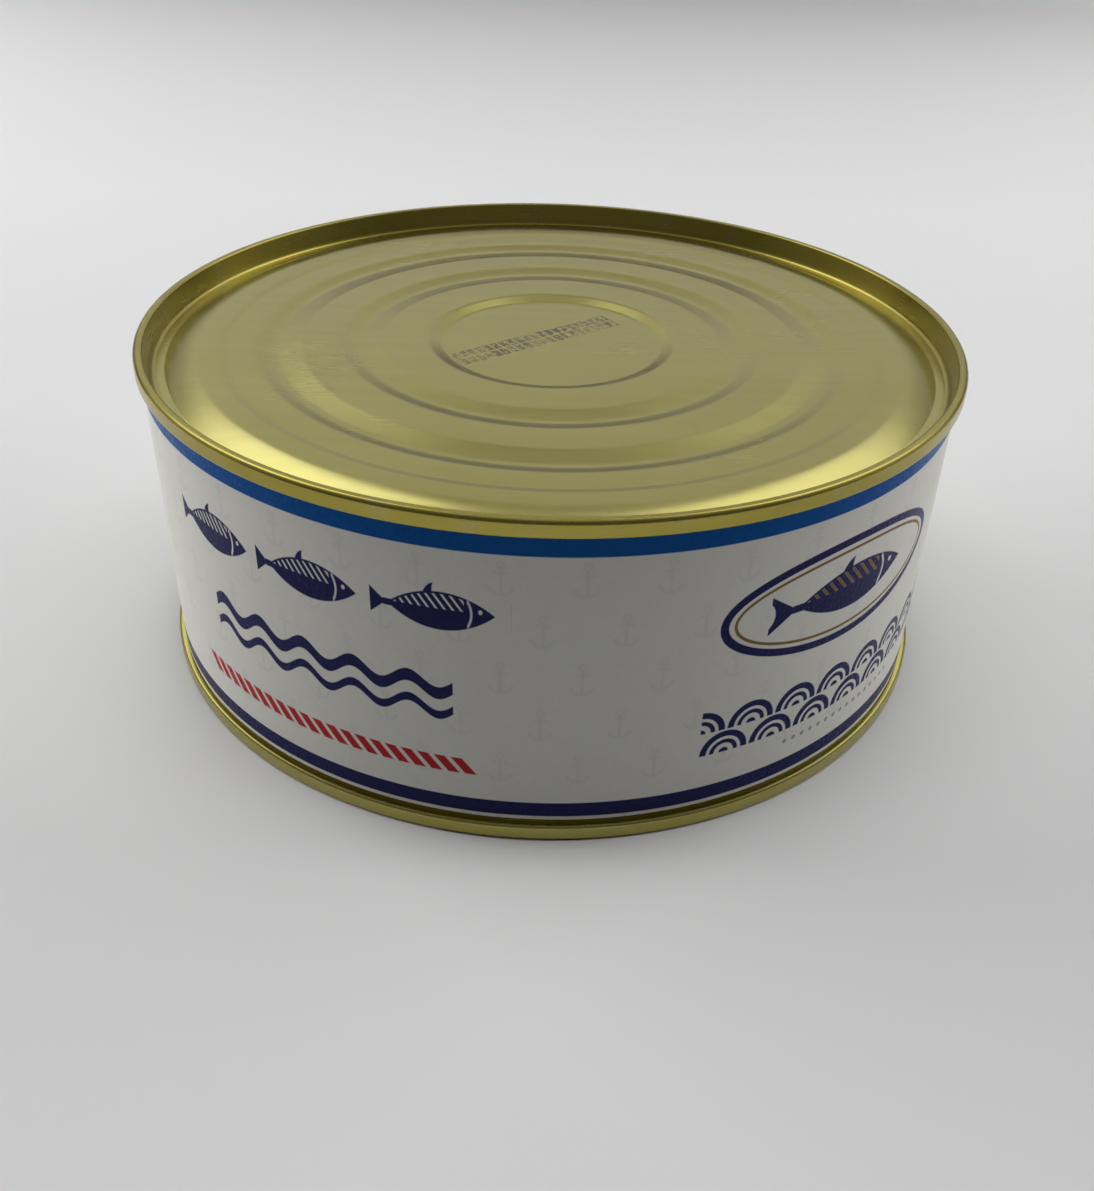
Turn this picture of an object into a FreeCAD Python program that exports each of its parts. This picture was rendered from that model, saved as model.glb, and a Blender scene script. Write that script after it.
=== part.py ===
"""Large round fish can, shut, with a paper label wrapped around it.

Frame: millimetres, +Z up, origin on the can's axis at the plane it stands on.

The can is made of three pieces of tinplate and a label:
    can_body    the side wall and what it holds, one solid because the can is shut
    top_end     pressed disc with expansion rings and its double seam
    bottom_end  the same pressing, turned over
    label       paper wrap with a glued lap at the back
"""

import FreeCAD, Part
import os

import Sketcher
from FreeCAD import Placement, Rotation, Vector

# Driving dimensions: alias, value in millimetres or degrees, what it is.
DIMENSIONS = [
    ("can_height", 62.75, "foot of the bottom seam to the crown of the top seam"),
    ("body_radius", 77.3, "outside of the side wall"),
    ("plate", 0.22, "tinplate thickness"),
    ("seam_height", 3.1, "height of a double seam"),
    ("seam_overhang", 1.3, "how far a seam stands out from the side wall"),
    ("seam_outer_bend", 0.75, "rounding of a seam's outer crown"),
    ("seam_inner_bend", 0.45, "rounding between a seam's crown and the chuck wall"),
    ("seam_lower_bend", 0.6, "rounding of a seam's lower outer edge"),
    ("chuck_lean", 0.85, "how far the chuck wall leans in from crown to countersink"),
    ("countersink_width", 2.5, "floor of the countersink"),
    ("countersink_depth", 4.7, "crown of the seam to the floor of the countersink"),
    ("countersink_bend", 0.9, "rounding of the countersink's floor"),
    ("shoulder_width", 2.6, "slope between the countersink and the rim land"),
    ("shoulder_bend", 7.5, "rounding of the shoulder's top"),
    ("rim_land_width", 6.9, "flat ring inside the shoulder"),
    ("rim_land_depth", 3.35, "crown of the seam to the rim land"),
    ("rim_step_width", 1.6, "slope from the rim land to the outer land"),
    ("outer_land_width", 5.5, "flat ring outside the outer bead"),
    ("outer_land_depth", 3.6, "crown of the seam to the outer land"),
    ("outer_bead_fall", 3.2, "outer slope of the outer bead"),
    ("outer_bead_rise", 5.3, "inner slope of the outer bead"),
    ("outer_bead_depth", 4.4, "crown of the seam to the outer bead's low line"),
    ("middle_land_width", 7.5, "flat ring between the two beads"),
    ("middle_land_depth", 3.7, "crown of the seam to the middle land"),
    ("inner_bead_fall", 3.5, "outer slope of the inner bead"),
    ("inner_bead_rise", 4.5, "inner slope of the inner bead"),
    ("inner_bead_depth", 4.5, "crown of the seam to the inner bead's low line"),
    ("inner_land_width", 8.8, "flat ring inside the inner bead"),
    ("inner_land_depth", 3.9, "crown of the seam to the inner land"),
    ("centre_step_width", 2.7, "slope from the inner land to the centre disc"),
    ("centre_depth", 4.9, "crown of the seam to the centre disc"),
    ("bead_bend", 6.0, "rounding of the beads"),
    ("step_bend", 3.0, "rounding of the steps"),
    ("label_paper", 0.12, "paper thickness"),
    ("label_foot_gap", 0.8, "bare side wall between the bottom seam and the label"),
    ("label_head_gap", 0.15, "clearance between the label and the top seam"),
    ("label_lap_angle", 7.0, "how far the glued lap goes round"),
    ("label_ramp_angle", 1.5, "how far the paper takes to climb onto the lap"),
    ("label_lap_start", 93.0, "direction of the lap's free edge from +X towards +Y"),
]

# The pressed panel from the chuck wall inwards. Each corner lies this width further in than
# the last one, at this depth below the seam's crown, and is rounded by this bend.
PANEL_CORNERS = [
    ("chuck_lean", "countersink_depth", "countersink_bend"),
    ("countersink_width", "countersink_depth", "countersink_bend"),
    ("shoulder_width", "rim_land_depth", "shoulder_bend"),
    ("rim_land_width", "rim_land_depth", "step_bend"),
    ("rim_step_width", "outer_land_depth", "step_bend"),
    ("outer_land_width", "outer_land_depth", "bead_bend"),
    ("outer_bead_fall", "outer_bead_depth", "bead_bend"),
    ("outer_bead_rise", "middle_land_depth", "bead_bend"),
    ("middle_land_width", "middle_land_depth", "bead_bend"),
    ("inner_bead_fall", "inner_bead_depth", "bead_bend"),
    ("inner_bead_rise", "inner_land_depth", "bead_bend"),
    ("inner_land_width", "inner_land_depth", "step_bend"),
    ("centre_step_width", "centre_depth", "step_bend"),
]

# Sizes that several pieces share, as expressions of the sheet.
WALL_OUTSIDE = "dims.body_radius"
WALL_INSIDE = "dims.body_radius - dims.plate"
CHUCK_WALL_TOP = "dims.body_radius - 2 * dims.plate"
SEAM_OUTSIDE = "dims.body_radius + dims.seam_overhang"
SEAM_FOOT = "dims.seam_height"
END_FLOOR = "dims.centre_depth + dims.plate"
LABEL_OUTSIDE = "dims.body_radius + dims.label_paper"
LAP_OUTSIDE = "dims.body_radius + 2 * dims.label_paper"
LABEL_FOOT = "dims.seam_height + dims.label_foot_gap"
LABEL_HEAD = "dims.can_height - dims.seam_height - dims.label_head_gap"

ZERO = None
START, END, CENTRE = 1, 2, 3
ORIGIN = (-1, 1)
X_AXIS, Y_AXIS = -1, -2
MATCH = 1e-4


def make_sheet():
    """Put the driving dimensions into a spreadsheet, one aliased cell each."""
    sheet = doc.addObject("Spreadsheet::Sheet", "dims")
    for row, (alias, value, meaning) in enumerate(DIMENSIONS, start=1):
        sheet.set("A%d" % row, meaning)
        sheet.set("B%d" % row, str(value))
        sheet.setAlias("B%d" % row, alias)
    doc.recompute()
    return sheet


def value_of(expression):
    """Present value of an expression of the sheet."""
    return 0.0 if expression is ZERO else float(dims.evalExpression(expression))


def add_body(name):
    """Add an empty body whose label names its file."""
    body = doc.addObject("PartDesign::Body", name)
    body.Label = name
    return body


def add_sketch(body, name, role):
    """Add a sketch on one of the body's own origin planes."""
    sketch = body.newObject("Sketcher::SketchObject", name)
    plane = [item for item in body.Origin.OriginFeatures if item.Role == role][0]
    sketch.AttachmentSupport = [(plane, "")]
    sketch.MapMode = "FlatFace"
    return sketch


def bind(sketch, constraint, name, expression):
    """Add a named constraint whose value follows an expression of the sheet."""
    index = sketch.addConstraint(constraint)
    sketch.renameConstraint(index, name)
    sketch.setExpression("Constraints." + name, expression)


def join_in_ring(sketch, curves):
    """Join each curve's end to the next curve's start, round to the first one."""
    for curve, following in zip(curves, curves[1:] + curves[:1]):
        sketch.addConstraint(Sketcher.Constraint("Coincident", curve, END, following, START))


def add_turning_profile(body, name, corners):
    """Sketch a closed outline of straight lines on the XZ plane, to be turned about Z.

    Each corner is a radius and a depth, both expressions of the sheet or ZERO. Depths count
    downwards from the origin.
    """
    sketch = add_sketch(body, name, "XZ_Plane")
    places = [Vector(value_of(radius), -value_of(depth), 0) for radius, depth in corners]
    lines = [
        sketch.addGeometry(Part.LineSegment(start, end))
        for start, end in zip(places, places[1:] + places[:1])
    ]
    join_in_ring(sketch, lines)
    for line, place, (radius, depth) in zip(lines, places, corners):
        corner = (line, START)
        if radius is ZERO:
            sketch.addConstraint(Sketcher.Constraint("PointOnObject", *corner, Y_AXIS))
        else:
            across = Sketcher.Constraint("DistanceX", *ORIGIN, *corner, place.x)
            bind(sketch, across, "radius_%d" % line, radius)
        if depth is ZERO:
            sketch.addConstraint(Sketcher.Constraint("PointOnObject", *corner, X_AXIS))
        else:
            down = Sketcher.Constraint("DistanceY", *corner, *ORIGIN, -place.y)
            bind(sketch, down, "depth_%d" % line, depth)
    return sketch


def turn(body, name, sketch):
    """Turn a profile a full circle about the body's Z axis."""
    solid = body.newObject("PartDesign::Revolution", name)
    solid.Profile = sketch
    solid.ReferenceAxis = (sketch, ["V_Axis"])
    solid.Angle = 360
    sketch.Visibility = False
    doc.recompute()


def ring_edges(shape, radius, depth):
    """Names of a turned shape's circular edges at this radius and depth."""
    names = []
    for number, edge in enumerate(shape.Edges, start=1):
        curve = edge.Curve
        if curve.TypeId != "Part::GeomCircle":
            continue
        if abs(curve.Radius - radius) < MATCH and abs(curve.Center.z + depth) < MATCH:
            names.append("Edge%d" % number)
    return names


def round_rings(body, bend, corners):
    """Round the ring-shaped edges that a turned body has at these corners."""
    base = body.Tip
    names = []
    for radius, depth in corners:
        names += ring_edges(base.Shape, value_of(radius), value_of(depth))
    if len(names) != len(corners):
        raise RuntimeError("%s: %d edges to round, not %d" % (bend, len(names), len(corners)))
    fillet = body.newObject("PartDesign::Fillet", body.Name + "_" + bend)
    fillet.Base = (base, names)
    fillet.setExpression("Radius", "dims." + bend)
    doc.recompute()


def make_can_body():
    """Side wall and contents: a drum with a recess at each end, where the ends plug in."""
    body = add_body("can_body")
    body.setExpression("Placement.Base.z", "dims.can_height")
    lower_seam = "dims.can_height - dims.seam_height"
    lower_floor = "dims.can_height - (%s)" % END_FLOOR
    corners = [
        (ZERO, END_FLOOR),
        (WALL_INSIDE, END_FLOOR),
        (WALL_INSIDE, SEAM_FOOT),
        (WALL_OUTSIDE, SEAM_FOOT),
        (WALL_OUTSIDE, lower_seam),
        (WALL_INSIDE, lower_seam),
        (WALL_INSIDE, lower_floor),
        (ZERO, lower_floor),
    ]
    turn(body, "drum", add_turning_profile(body, "drum_profile", corners))
    return body


def make_end(name):
    """Pressed end with its double seam: the seam's crown at the origin, the panel below it."""
    body = add_body(name)
    crown_inside = (CHUCK_WALL_TOP, ZERO)
    crown_outside = (SEAM_OUTSIDE, ZERO)
    seam_lower_edge = (SEAM_OUTSIDE, SEAM_FOOT)
    hidden_side = [
        (WALL_INSIDE, SEAM_FOOT),
        (WALL_INSIDE, END_FLOOR),
        (ZERO, END_FLOOR),
    ]
    panel = []
    radius = CHUCK_WALL_TOP
    for width, depth, _ in PANEL_CORNERS:
        radius += " - dims." + width
        panel.append((radius, "dims." + depth))
    centre = (ZERO, "dims.centre_depth")
    outline = [crown_inside, crown_outside, seam_lower_edge] + hidden_side + [centre] + panel[::-1]
    turn(body, name + "_pressing", add_turning_profile(body, name + "_profile", outline))

    bends = [bend for _, _, bend in PANEL_CORNERS]
    for bend in dict.fromkeys(bends):
        round_rings(body, bend, [corner for corner, own in zip(panel, bends) if own == bend])
    round_rings(body, "seam_outer_bend", [crown_outside])
    round_rings(body, "seam_inner_bend", [crown_inside])
    round_rings(body, "seam_lower_bend", [seam_lower_edge])
    return body


def make_top_end():
    """The end that faces up."""
    body = make_end("top_end")
    body.setExpression("Placement.Base.z", "dims.can_height")
    return body


def make_bottom_end():
    """The end that the can stands on."""
    body = make_end("bottom_end")
    body.Placement = Placement(Vector(0, 0, 0), Rotation(Vector(1, 0, 0), 180))
    return body


def add_arc(sketch, name, radius, start, end):
    """Add an arc about the origin, with its radius bound to an expression."""
    size = value_of(radius)
    circle = Part.Circle(Vector(0, 0, 0), Vector(0, 0, 1), size)
    first = circle.parameter(start)
    last = circle.parameter(end)
    arc = sketch.addGeometry(Part.ArcOfCircle(circle, first, last))
    sketch.addConstraint(Sketcher.Constraint("Coincident", arc, CENTRE, *ORIGIN))
    bind(sketch, Sketcher.Constraint("Radius", arc, size), name, radius)
    return arc


def polar(radius, angle):
    """Point at a radius and an angle, both expressions of the sheet."""
    return Rotation(Vector(0, 0, 1), value_of(angle)).multVec(Vector(value_of(radius), 0, 0))


def make_label():
    """Paper wrap: one layer all round, and a second one along the lap.

    The lap's free edge lies on the body's X axis. Past the lap the outer layer comes down a
    short ramp onto the wall.
    """
    body = add_body("label")
    lap_end = "dims.label_lap_angle"
    ramp_end = "dims.label_lap_angle + dims.label_ramp_angle"
    edge_inner = polar(LABEL_OUTSIDE, ZERO)
    edge_outer = polar(LAP_OUTSIDE, ZERO)
    ramp_top = polar(LAP_OUTSIDE, lap_end)
    ramp_foot = polar(LABEL_OUTSIDE, ramp_end)

    sketch = add_sketch(body, "label_section", "XY_Plane")
    free_edge = sketch.addGeometry(Part.LineSegment(edge_inner, edge_outer))
    lap = add_arc(sketch, "lap_radius", LAP_OUTSIDE, edge_outer, ramp_top)
    ramp = sketch.addGeometry(Part.LineSegment(ramp_top, ramp_foot))
    wrap = add_arc(sketch, "wrap_radius", LABEL_OUTSIDE, ramp_foot, edge_inner)
    join_in_ring(sketch, [free_edge, lap, ramp, wrap])
    sketch.addConstraint(Sketcher.Constraint("PointOnObject", free_edge, START, X_AXIS))
    sketch.addConstraint(Sketcher.Constraint("PointOnObject", free_edge, END, X_AXIS))
    rise_to_ramp = Sketcher.Constraint("DistanceY", *ORIGIN, ramp, START, ramp_top.y)
    rise_to_foot = Sketcher.Constraint("DistanceY", *ORIGIN, ramp, END, ramp_foot.y)
    bind(sketch, rise_to_ramp, "ramp_top", "(%s) * sin(%s)" % (LAP_OUTSIDE, lap_end))
    bind(sketch, rise_to_foot, "ramp_foot", "(%s) * sin(%s)" % (LABEL_OUTSIDE, ramp_end))

    inside = Part.Circle(Vector(0, 0, 0), Vector(0, 0, 1), value_of(WALL_OUTSIDE))
    inner_face = sketch.addGeometry(inside)
    sketch.addConstraint(Sketcher.Constraint("Coincident", inner_face, CENTRE, *ORIGIN))
    inner_radius = Sketcher.Constraint("Radius", inner_face, inside.Radius)
    bind(sketch, inner_radius, "inner_radius", WALL_OUTSIDE)

    paper = body.newObject("PartDesign::Pad", "label_paper_wrap")
    paper.Profile = sketch
    paper.setExpression("Length", "%s - (%s)" % (LABEL_HEAD, LABEL_FOOT))
    sketch.Visibility = False
    body.Placement = Placement(Vector(0, 0, 0), Rotation(Vector(0, 0, 1), value_of("dims.label_lap_start")))
    body.setExpression("Placement.Base.z", LABEL_FOOT)
    body.setExpression("Placement.Rotation.Angle", "dims.label_lap_start")
    doc.recompute()
    return body


def check_document():
    """Stop if any object of the document has failed."""
    for item in doc.Objects:
        if "Invalid" in item.State or "Error" in item.State:
            raise RuntimeError("%s did not build: %s" % (item.Name, item.State))


def export(pieces):
    """Write each piece's solid to parts/, in a file named after the piece."""
    os.makedirs("parts", exist_ok=True)
    for piece in pieces:
        shape = piece.Shape
        if shape.isNull() or not shape.isValid() or len(shape.Solids) != 1:
            raise RuntimeError("%s is not one valid solid" % piece.Label)
    for piece in pieces:
        shape = piece.Shape
        shape.exportStep("parts/%s.step" % piece.Label)
        box = shape.optimalBoundingBox()
        print("%-12s volume %10.1f mm3, z %7.3f to %7.3f, x %8.3f to %8.3f"
              % (piece.Label, shape.Volume, box.ZMin, box.ZMax, box.XMin, box.XMax))


doc = FreeCAD.newDocument("fish_can")
dims = make_sheet()
pieces = [make_can_body(), make_top_end(), make_bottom_end(), make_label()]
doc.recompute()
check_document()
export(pieces)
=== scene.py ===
"""Looks of a large round fish can: gold-lacquered tinplate, a printed paper label, a studio.

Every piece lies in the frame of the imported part: metres, +Z up, origin on the can's axis
where it stands. The front of the label faces -Y.
"""

from __future__ import annotations

import logging
import math
from collections.abc import Callable, Mapping, Sequence
from dataclasses import dataclass, field
from enum import Enum
from functools import reduce
from typing import Any, NamedTuple, Union

import bmesh
import bpy
from mathutils import Matrix, Quaternion, Vector


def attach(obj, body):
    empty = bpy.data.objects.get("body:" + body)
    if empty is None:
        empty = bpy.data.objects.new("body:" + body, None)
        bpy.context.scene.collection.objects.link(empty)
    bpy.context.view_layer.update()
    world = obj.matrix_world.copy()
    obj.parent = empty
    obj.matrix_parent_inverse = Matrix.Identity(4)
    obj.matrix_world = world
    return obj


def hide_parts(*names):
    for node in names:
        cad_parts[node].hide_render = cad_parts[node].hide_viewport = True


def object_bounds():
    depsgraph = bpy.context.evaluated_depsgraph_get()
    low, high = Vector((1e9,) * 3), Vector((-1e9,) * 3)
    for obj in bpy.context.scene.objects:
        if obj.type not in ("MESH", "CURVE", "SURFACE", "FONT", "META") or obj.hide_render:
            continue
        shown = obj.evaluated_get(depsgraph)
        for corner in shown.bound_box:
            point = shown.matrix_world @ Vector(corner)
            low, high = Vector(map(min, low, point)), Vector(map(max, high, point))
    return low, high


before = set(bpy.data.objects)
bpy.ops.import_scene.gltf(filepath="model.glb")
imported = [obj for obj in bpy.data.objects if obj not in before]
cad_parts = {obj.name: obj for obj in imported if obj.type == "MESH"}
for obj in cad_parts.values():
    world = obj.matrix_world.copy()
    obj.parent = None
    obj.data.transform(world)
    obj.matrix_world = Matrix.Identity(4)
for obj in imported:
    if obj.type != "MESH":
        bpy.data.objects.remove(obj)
cad_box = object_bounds()

log = logging.getLogger("fish_can")

MM = 0.001
BODY = "root"
NEAR = 0.004  # millimetres within which an edge counts as lying on a ring
IN_MM = (1 / MM,) * 3  # scale of a place that is read in millimetres

Colour = tuple[float, float, float]


# --- Shader maths ---


class Reading:
    """A number that varies over a surface: an output socket that takes part in sums."""

    def __init__(self, graph: Graph, socket: bpy.types.NodeSocket) -> None:
        """Wrap an output socket that gives one number."""
        self.graph = graph
        self.socket = socket

    def __add__(self, other: Number) -> Reading:
        """Sum."""
        return self.graph.math("ADD", self, other)

    __radd__ = __add__

    def __sub__(self, other: Number) -> Reading:
        """Difference."""
        return self.graph.math("SUBTRACT", self, other)

    def __rsub__(self, other: Number) -> Reading:
        """Difference, taken from a plain number."""
        return self.graph.math("SUBTRACT", other, self)

    def __mul__(self, other: Number) -> Reading:
        """Product."""
        return self.graph.math("MULTIPLY", self, other)

    __rmul__ = __mul__

    def __truediv__(self, other: Number) -> Reading:
        """Quotient."""
        return self.graph.math("DIVIDE", self, other)

    def __neg__(self) -> Reading:
        """Negative."""
        return self.graph.math("MULTIPLY", self, -1.0)

    def __abs__(self) -> Reading:
        """Size without sign."""
        return self.graph.math("ABSOLUTE", self)

    def __mod__(self, other: Number) -> Reading:
        """Remainder that never goes below nothing."""
        return self.graph.math("FLOORED_MODULO", self, other)


Number = Union[Reading, float]
Feed = Union[Reading, bpy.types.NodeSocket, float, Sequence[float]]


class Graph:
    """The node tree of one material, or of the world."""

    def __init__(self, tree: bpy.types.NodeTree) -> None:
        """Empty the tree, to build in it."""
        self.tree = tree
        tree.nodes.clear()

    def node(
        self,
        kind: str,
        settings: Mapping[str, Any] | None = None,
        inputs: Mapping[Union[str, int], Feed] | None = None,
    ) -> bpy.types.Node:
        """Add a node.

        Args:
            kind: The node's type.
            settings: Its properties, set first.
            inputs: Values or links, by the socket's name or number.

        Returns:
            The new node.
        """
        node = self.tree.nodes.new(kind)
        for name, value in (settings or {}).items():
            setattr(node, name, value)
        for key, value in (inputs or {}).items():
            socket = node.inputs[key]
            if isinstance(value, Reading):
                self.tree.links.new(value.socket, socket)
            elif isinstance(value, bpy.types.NodeSocket):
                self.tree.links.new(value, socket)
            else:
                socket.default_value = value
        return node

    def math(self, operation: str, *terms: Number, clamp: bool = False) -> Reading:
        """Add a Math node.

        Args:
            operation: The node's operation.
            terms: Its inputs, in order.
            clamp: Whether the result is kept between 0 and 1.

        Returns:
            The result.
        """
        settings = {"operation": operation, "use_clamp": clamp}
        node = self.node("ShaderNodeMath", settings, dict(enumerate(terms)))
        return Reading(self, node.outputs[0])

    def least(self, *numbers: Number) -> Reading:
        """Smallest of several numbers."""
        return reduce(lambda one, other: self.math("MINIMUM", one, other), numbers)

    def most(self, *numbers: Number) -> Reading:
        """Largest of several numbers."""
        return reduce(lambda one, other: self.math("MAXIMUM", one, other), numbers)

    def length(self, across: Number, up: Number) -> Reading:
        """Length of a flat vector."""
        return self.math("SQRT", across * across + up * up)

    def blend(
        self, share: Feed, under: Feed, over: Feed, mode: str = "MIX"
    ) -> bpy.types.NodeSocket:
        """Mix two colours.

        Args:
            share: How much of the second colour shows, from 0 to 1.
            under: The first colour, with alpha if it is plain.
            over: The second colour.
            mode: The blend type.

        Returns:
            The mixed colour's socket.
        """
        settings = {"data_type": "RGBA", "blend_type": mode}
        node = self.node("ShaderNodeMix", settings, {0: share, 6: under, 7: over})
        return node.outputs[2]

    def place(self, scale: Sequence[float] = (1, 1, 1), turn: float = 0.0) -> bpy.types.NodeSocket:
        """Object coordinates, turned about Z and stretched.

        Args:
            scale: Factors on X, Y and Z.
            turn: Angle about Z in radians.

        Returns:
            A vector socket.
        """
        coordinates = self.node("ShaderNodeTexCoord").outputs["Object"]
        inputs = {"Vector": coordinates, "Rotation": (0.0, 0.0, turn), "Scale": tuple(scale)}
        return self.node("ShaderNodeMapping", None, inputs).outputs[0]

    def axes(self, vector: bpy.types.NodeSocket) -> tuple[Reading, Reading, Reading]:
        """X, Y and Z of a vector."""
        parts = self.node("ShaderNodeSeparateXYZ", None, {0: vector})
        return tuple(Reading(self, output) for output in parts.outputs)

    def noise(self, vector: bpy.types.NodeSocket, scale: float, detail: float = 2.0) -> Reading:
        """Cloudy noise, mostly from 0.3 to 0.7, with `scale` clouds in each unit of the vector."""
        inputs = {"Vector": vector, "Scale": scale, "Detail": detail}
        return Reading(self, self.node("ShaderNodeTexNoise", None, inputs).outputs[0])

    def chance(self, *cells: Number) -> Reading:
        """A fixed random number for each cell.

        Args:
            cells: The cell's whole numbers.

        Returns:
            The number, from 0 to 1.
        """
        spot = self.node("ShaderNodeCombineXYZ", None, dict(enumerate(cells)))
        settings = {"noise_dimensions": "3D"}
        node = self.node("ShaderNodeTexWhiteNoise", settings, {"Vector": spot.outputs[0]})
        return Reading(self, node.outputs[0])

    def bump(self, height: Reading, depth: float) -> bpy.types.NodeSocket:
        """Normals of a small relief from 0 to 1, where 1 stands `depth` metres high."""
        inputs = {"Strength": 1.0, "Distance": depth, "Height": height}
        return self.node("ShaderNodeBump", None, inputs).outputs[0]

    def surface(self, inputs: Mapping[str, Feed]) -> None:
        """Finish the tree with a Principled shader that has these inputs."""
        shader = self.node("ShaderNodeBsdfPrincipled", None, inputs)
        self.node("ShaderNodeOutputMaterial", None, {"Surface": shader.outputs[0]})


def new_material(name: str) -> tuple[bpy.types.Material, Graph]:
    """Make a material with an empty graph.

    Args:
        name: The material's name.

    Returns:
        The material and its graph.
    """
    material = bpy.data.materials.new(name)
    material.use_nodes = True
    return material, Graph(material.node_tree)


# --- Flat shapes, as signed distances in millimetres, negative inside ---


@dataclass(frozen=True)
class Pen:
    """Draws flat shapes on an unrolled surface.

    Attributes:
        graph: Where the nodes go.
        edge: Width over which ink fades out, in millimetres.
    """

    graph: Graph
    edge: float = 0.16

    def ink(self, distance: Reading) -> Reading:
        """Cover, from 0 to 1, of a shape given as a signed distance."""
        return self.graph.math("MULTIPLY_ADD", distance, -1.0 / self.edge, 0.5, clamp=True)

    def disc(self, across: Reading, up: Reading, radius: float) -> Reading:
        """Round spot."""
        return self.graph.length(across, up) - radius

    def line(self, shape: Reading, half_width: float) -> Reading:
        """Outline of a shape."""
        return abs(shape) - half_width

    def cell(self, along: Reading, pitch: float) -> Reading:
        """Distance from the middle of the nearest cell of a row that repeats."""
        steps = along / pitch
        return (steps - self.graph.math("FLOOR", steps) - 0.5) * pitch

    def tile(
        self, across: Reading, up: Reading, half_width: Number, half_height: Number, corner: Number
    ) -> Reading:
        """Rectangle with rounded corners.

        Args:
            across: Distance along, from the middle.
            up: Distance up, from the middle.
            half_width: Half of its width.
            half_height: Half of its height.
            corner: Radius of its corners.

        Returns:
            The signed distance.
        """
        graph = self.graph
        past_side = abs(across) - half_width + corner
        past_top = abs(up) - half_height + corner
        outside = graph.length(graph.most(past_side, 0.0), graph.most(past_top, 0.0))
        inside = graph.least(graph.most(past_side, past_top), 0.0)
        return outside + inside - corner

    def oval(self, across: Reading, up: Reading, half_width: float, half_height: float) -> Reading:
        """Ellipse, near enough to a true distance for a thin outline.

        Args:
            across: Distance along, from the middle.
            up: Distance up, from the middle.
            half_width: Half of its width.
            half_height: Half of its height.

        Returns:
            The signed distance.
        """
        graph = self.graph
        reach = graph.length(across / half_width, up / half_height)
        slope = graph.length(across / half_width**2, up / half_height**2)
        return reach * (reach - 1.0) / slope

    def lens(self, across: Reading, up: Reading, half_width: float, half_height: float) -> Reading:
        """Pointed lens, where two large discs overlap.

        Args:
            across: Distance along, from the middle.
            up: Distance up, from the middle.
            half_width: Half of its width.
            half_height: Half of its height.

        Returns:
            The signed distance.
        """
        radius = (half_width**2 + half_height**2) / (2 * half_height)
        rise = radius - half_height
        upper = self.disc(across, up + rise, radius)
        lower = self.disc(across, up - rise, radius)
        return self.graph.most(upper, lower)


# --- Finishes ---


@dataclass(frozen=True)
class InkCode:
    """Faded row of ink-jet dots on an end: chance dots in narrow columns, which spell nothing.

    Attributes:
        centre: Middle of the code on the end.
        slant: Its direction from +X towards +Y, in degrees.
        length: How far it runs.
        pitch: Distance from dot to dot.
        columns: Dots across one mark, with the gap after it.
        rows: Dots up one mark, with the gap above it.
        lines: Lines of marks.
        cover: How dark the ink is at most, from 0 to 1.
        colour: Colour of the ink.
    """

    centre: tuple[float, float] = (-3.2, 1.2)
    slant: float = 37.0
    length: float = 38.0
    pitch: float = 0.46
    columns: int = 4
    rows: int = 7
    lines: int = 2
    cover: float = 0.92
    colour: Colour = (0.055, 0.045, 0.03)

    def ink(self, graph: Graph) -> Reading:
        """Cover of the code, read in millimetres on the end.

        Args:
            graph: The end's graph.

        Returns:
            The cover, from 0 to 1.
        """
        slant = math.radians(self.slant)
        across, up, _ = graph.axes(graph.place(IN_MM, -slant))
        east, north = self.centre
        across = across - (east * math.cos(slant) + north * math.sin(slant))
        up = up - (north * math.cos(slant) - east * math.sin(slant))
        column = graph.math("FLOOR", across / self.pitch)
        row = graph.math("FLOOR", up / self.pitch)
        pen = Pen(graph, edge=0.2)
        dot_across, dot_up = (column + 0.5) * self.pitch, (row + 0.5) * self.pitch
        dot = pen.disc(across - dot_across, up - dot_up, 0.6 * self.pitch)
        struck = graph.math("LESS_THAN", graph.chance(column, row, 4.0), 0.78)
        in_mark = graph.math("LESS_THAN", column % self.columns, self.columns - 1.5)
        line_row = (row + 0.5 + self.rows * self.lines / 2) % self.rows
        in_line = graph.math("LESS_THAN", line_row, self.rows - 1.0)
        half_width, half_height = self.length / 2, self.rows * self.lines * self.pitch / 2
        field_of_code = pen.ink(pen.tile(across, up, half_width, half_height, 0.1))
        worn = graph.math("MULTIPLY_ADD", graph.noise(graph.place(), 160.0), 2.5, -0.4, clamp=True)
        return pen.ink(dot) * struck * in_mark * in_line * field_of_code * worn * self.cover


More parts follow.
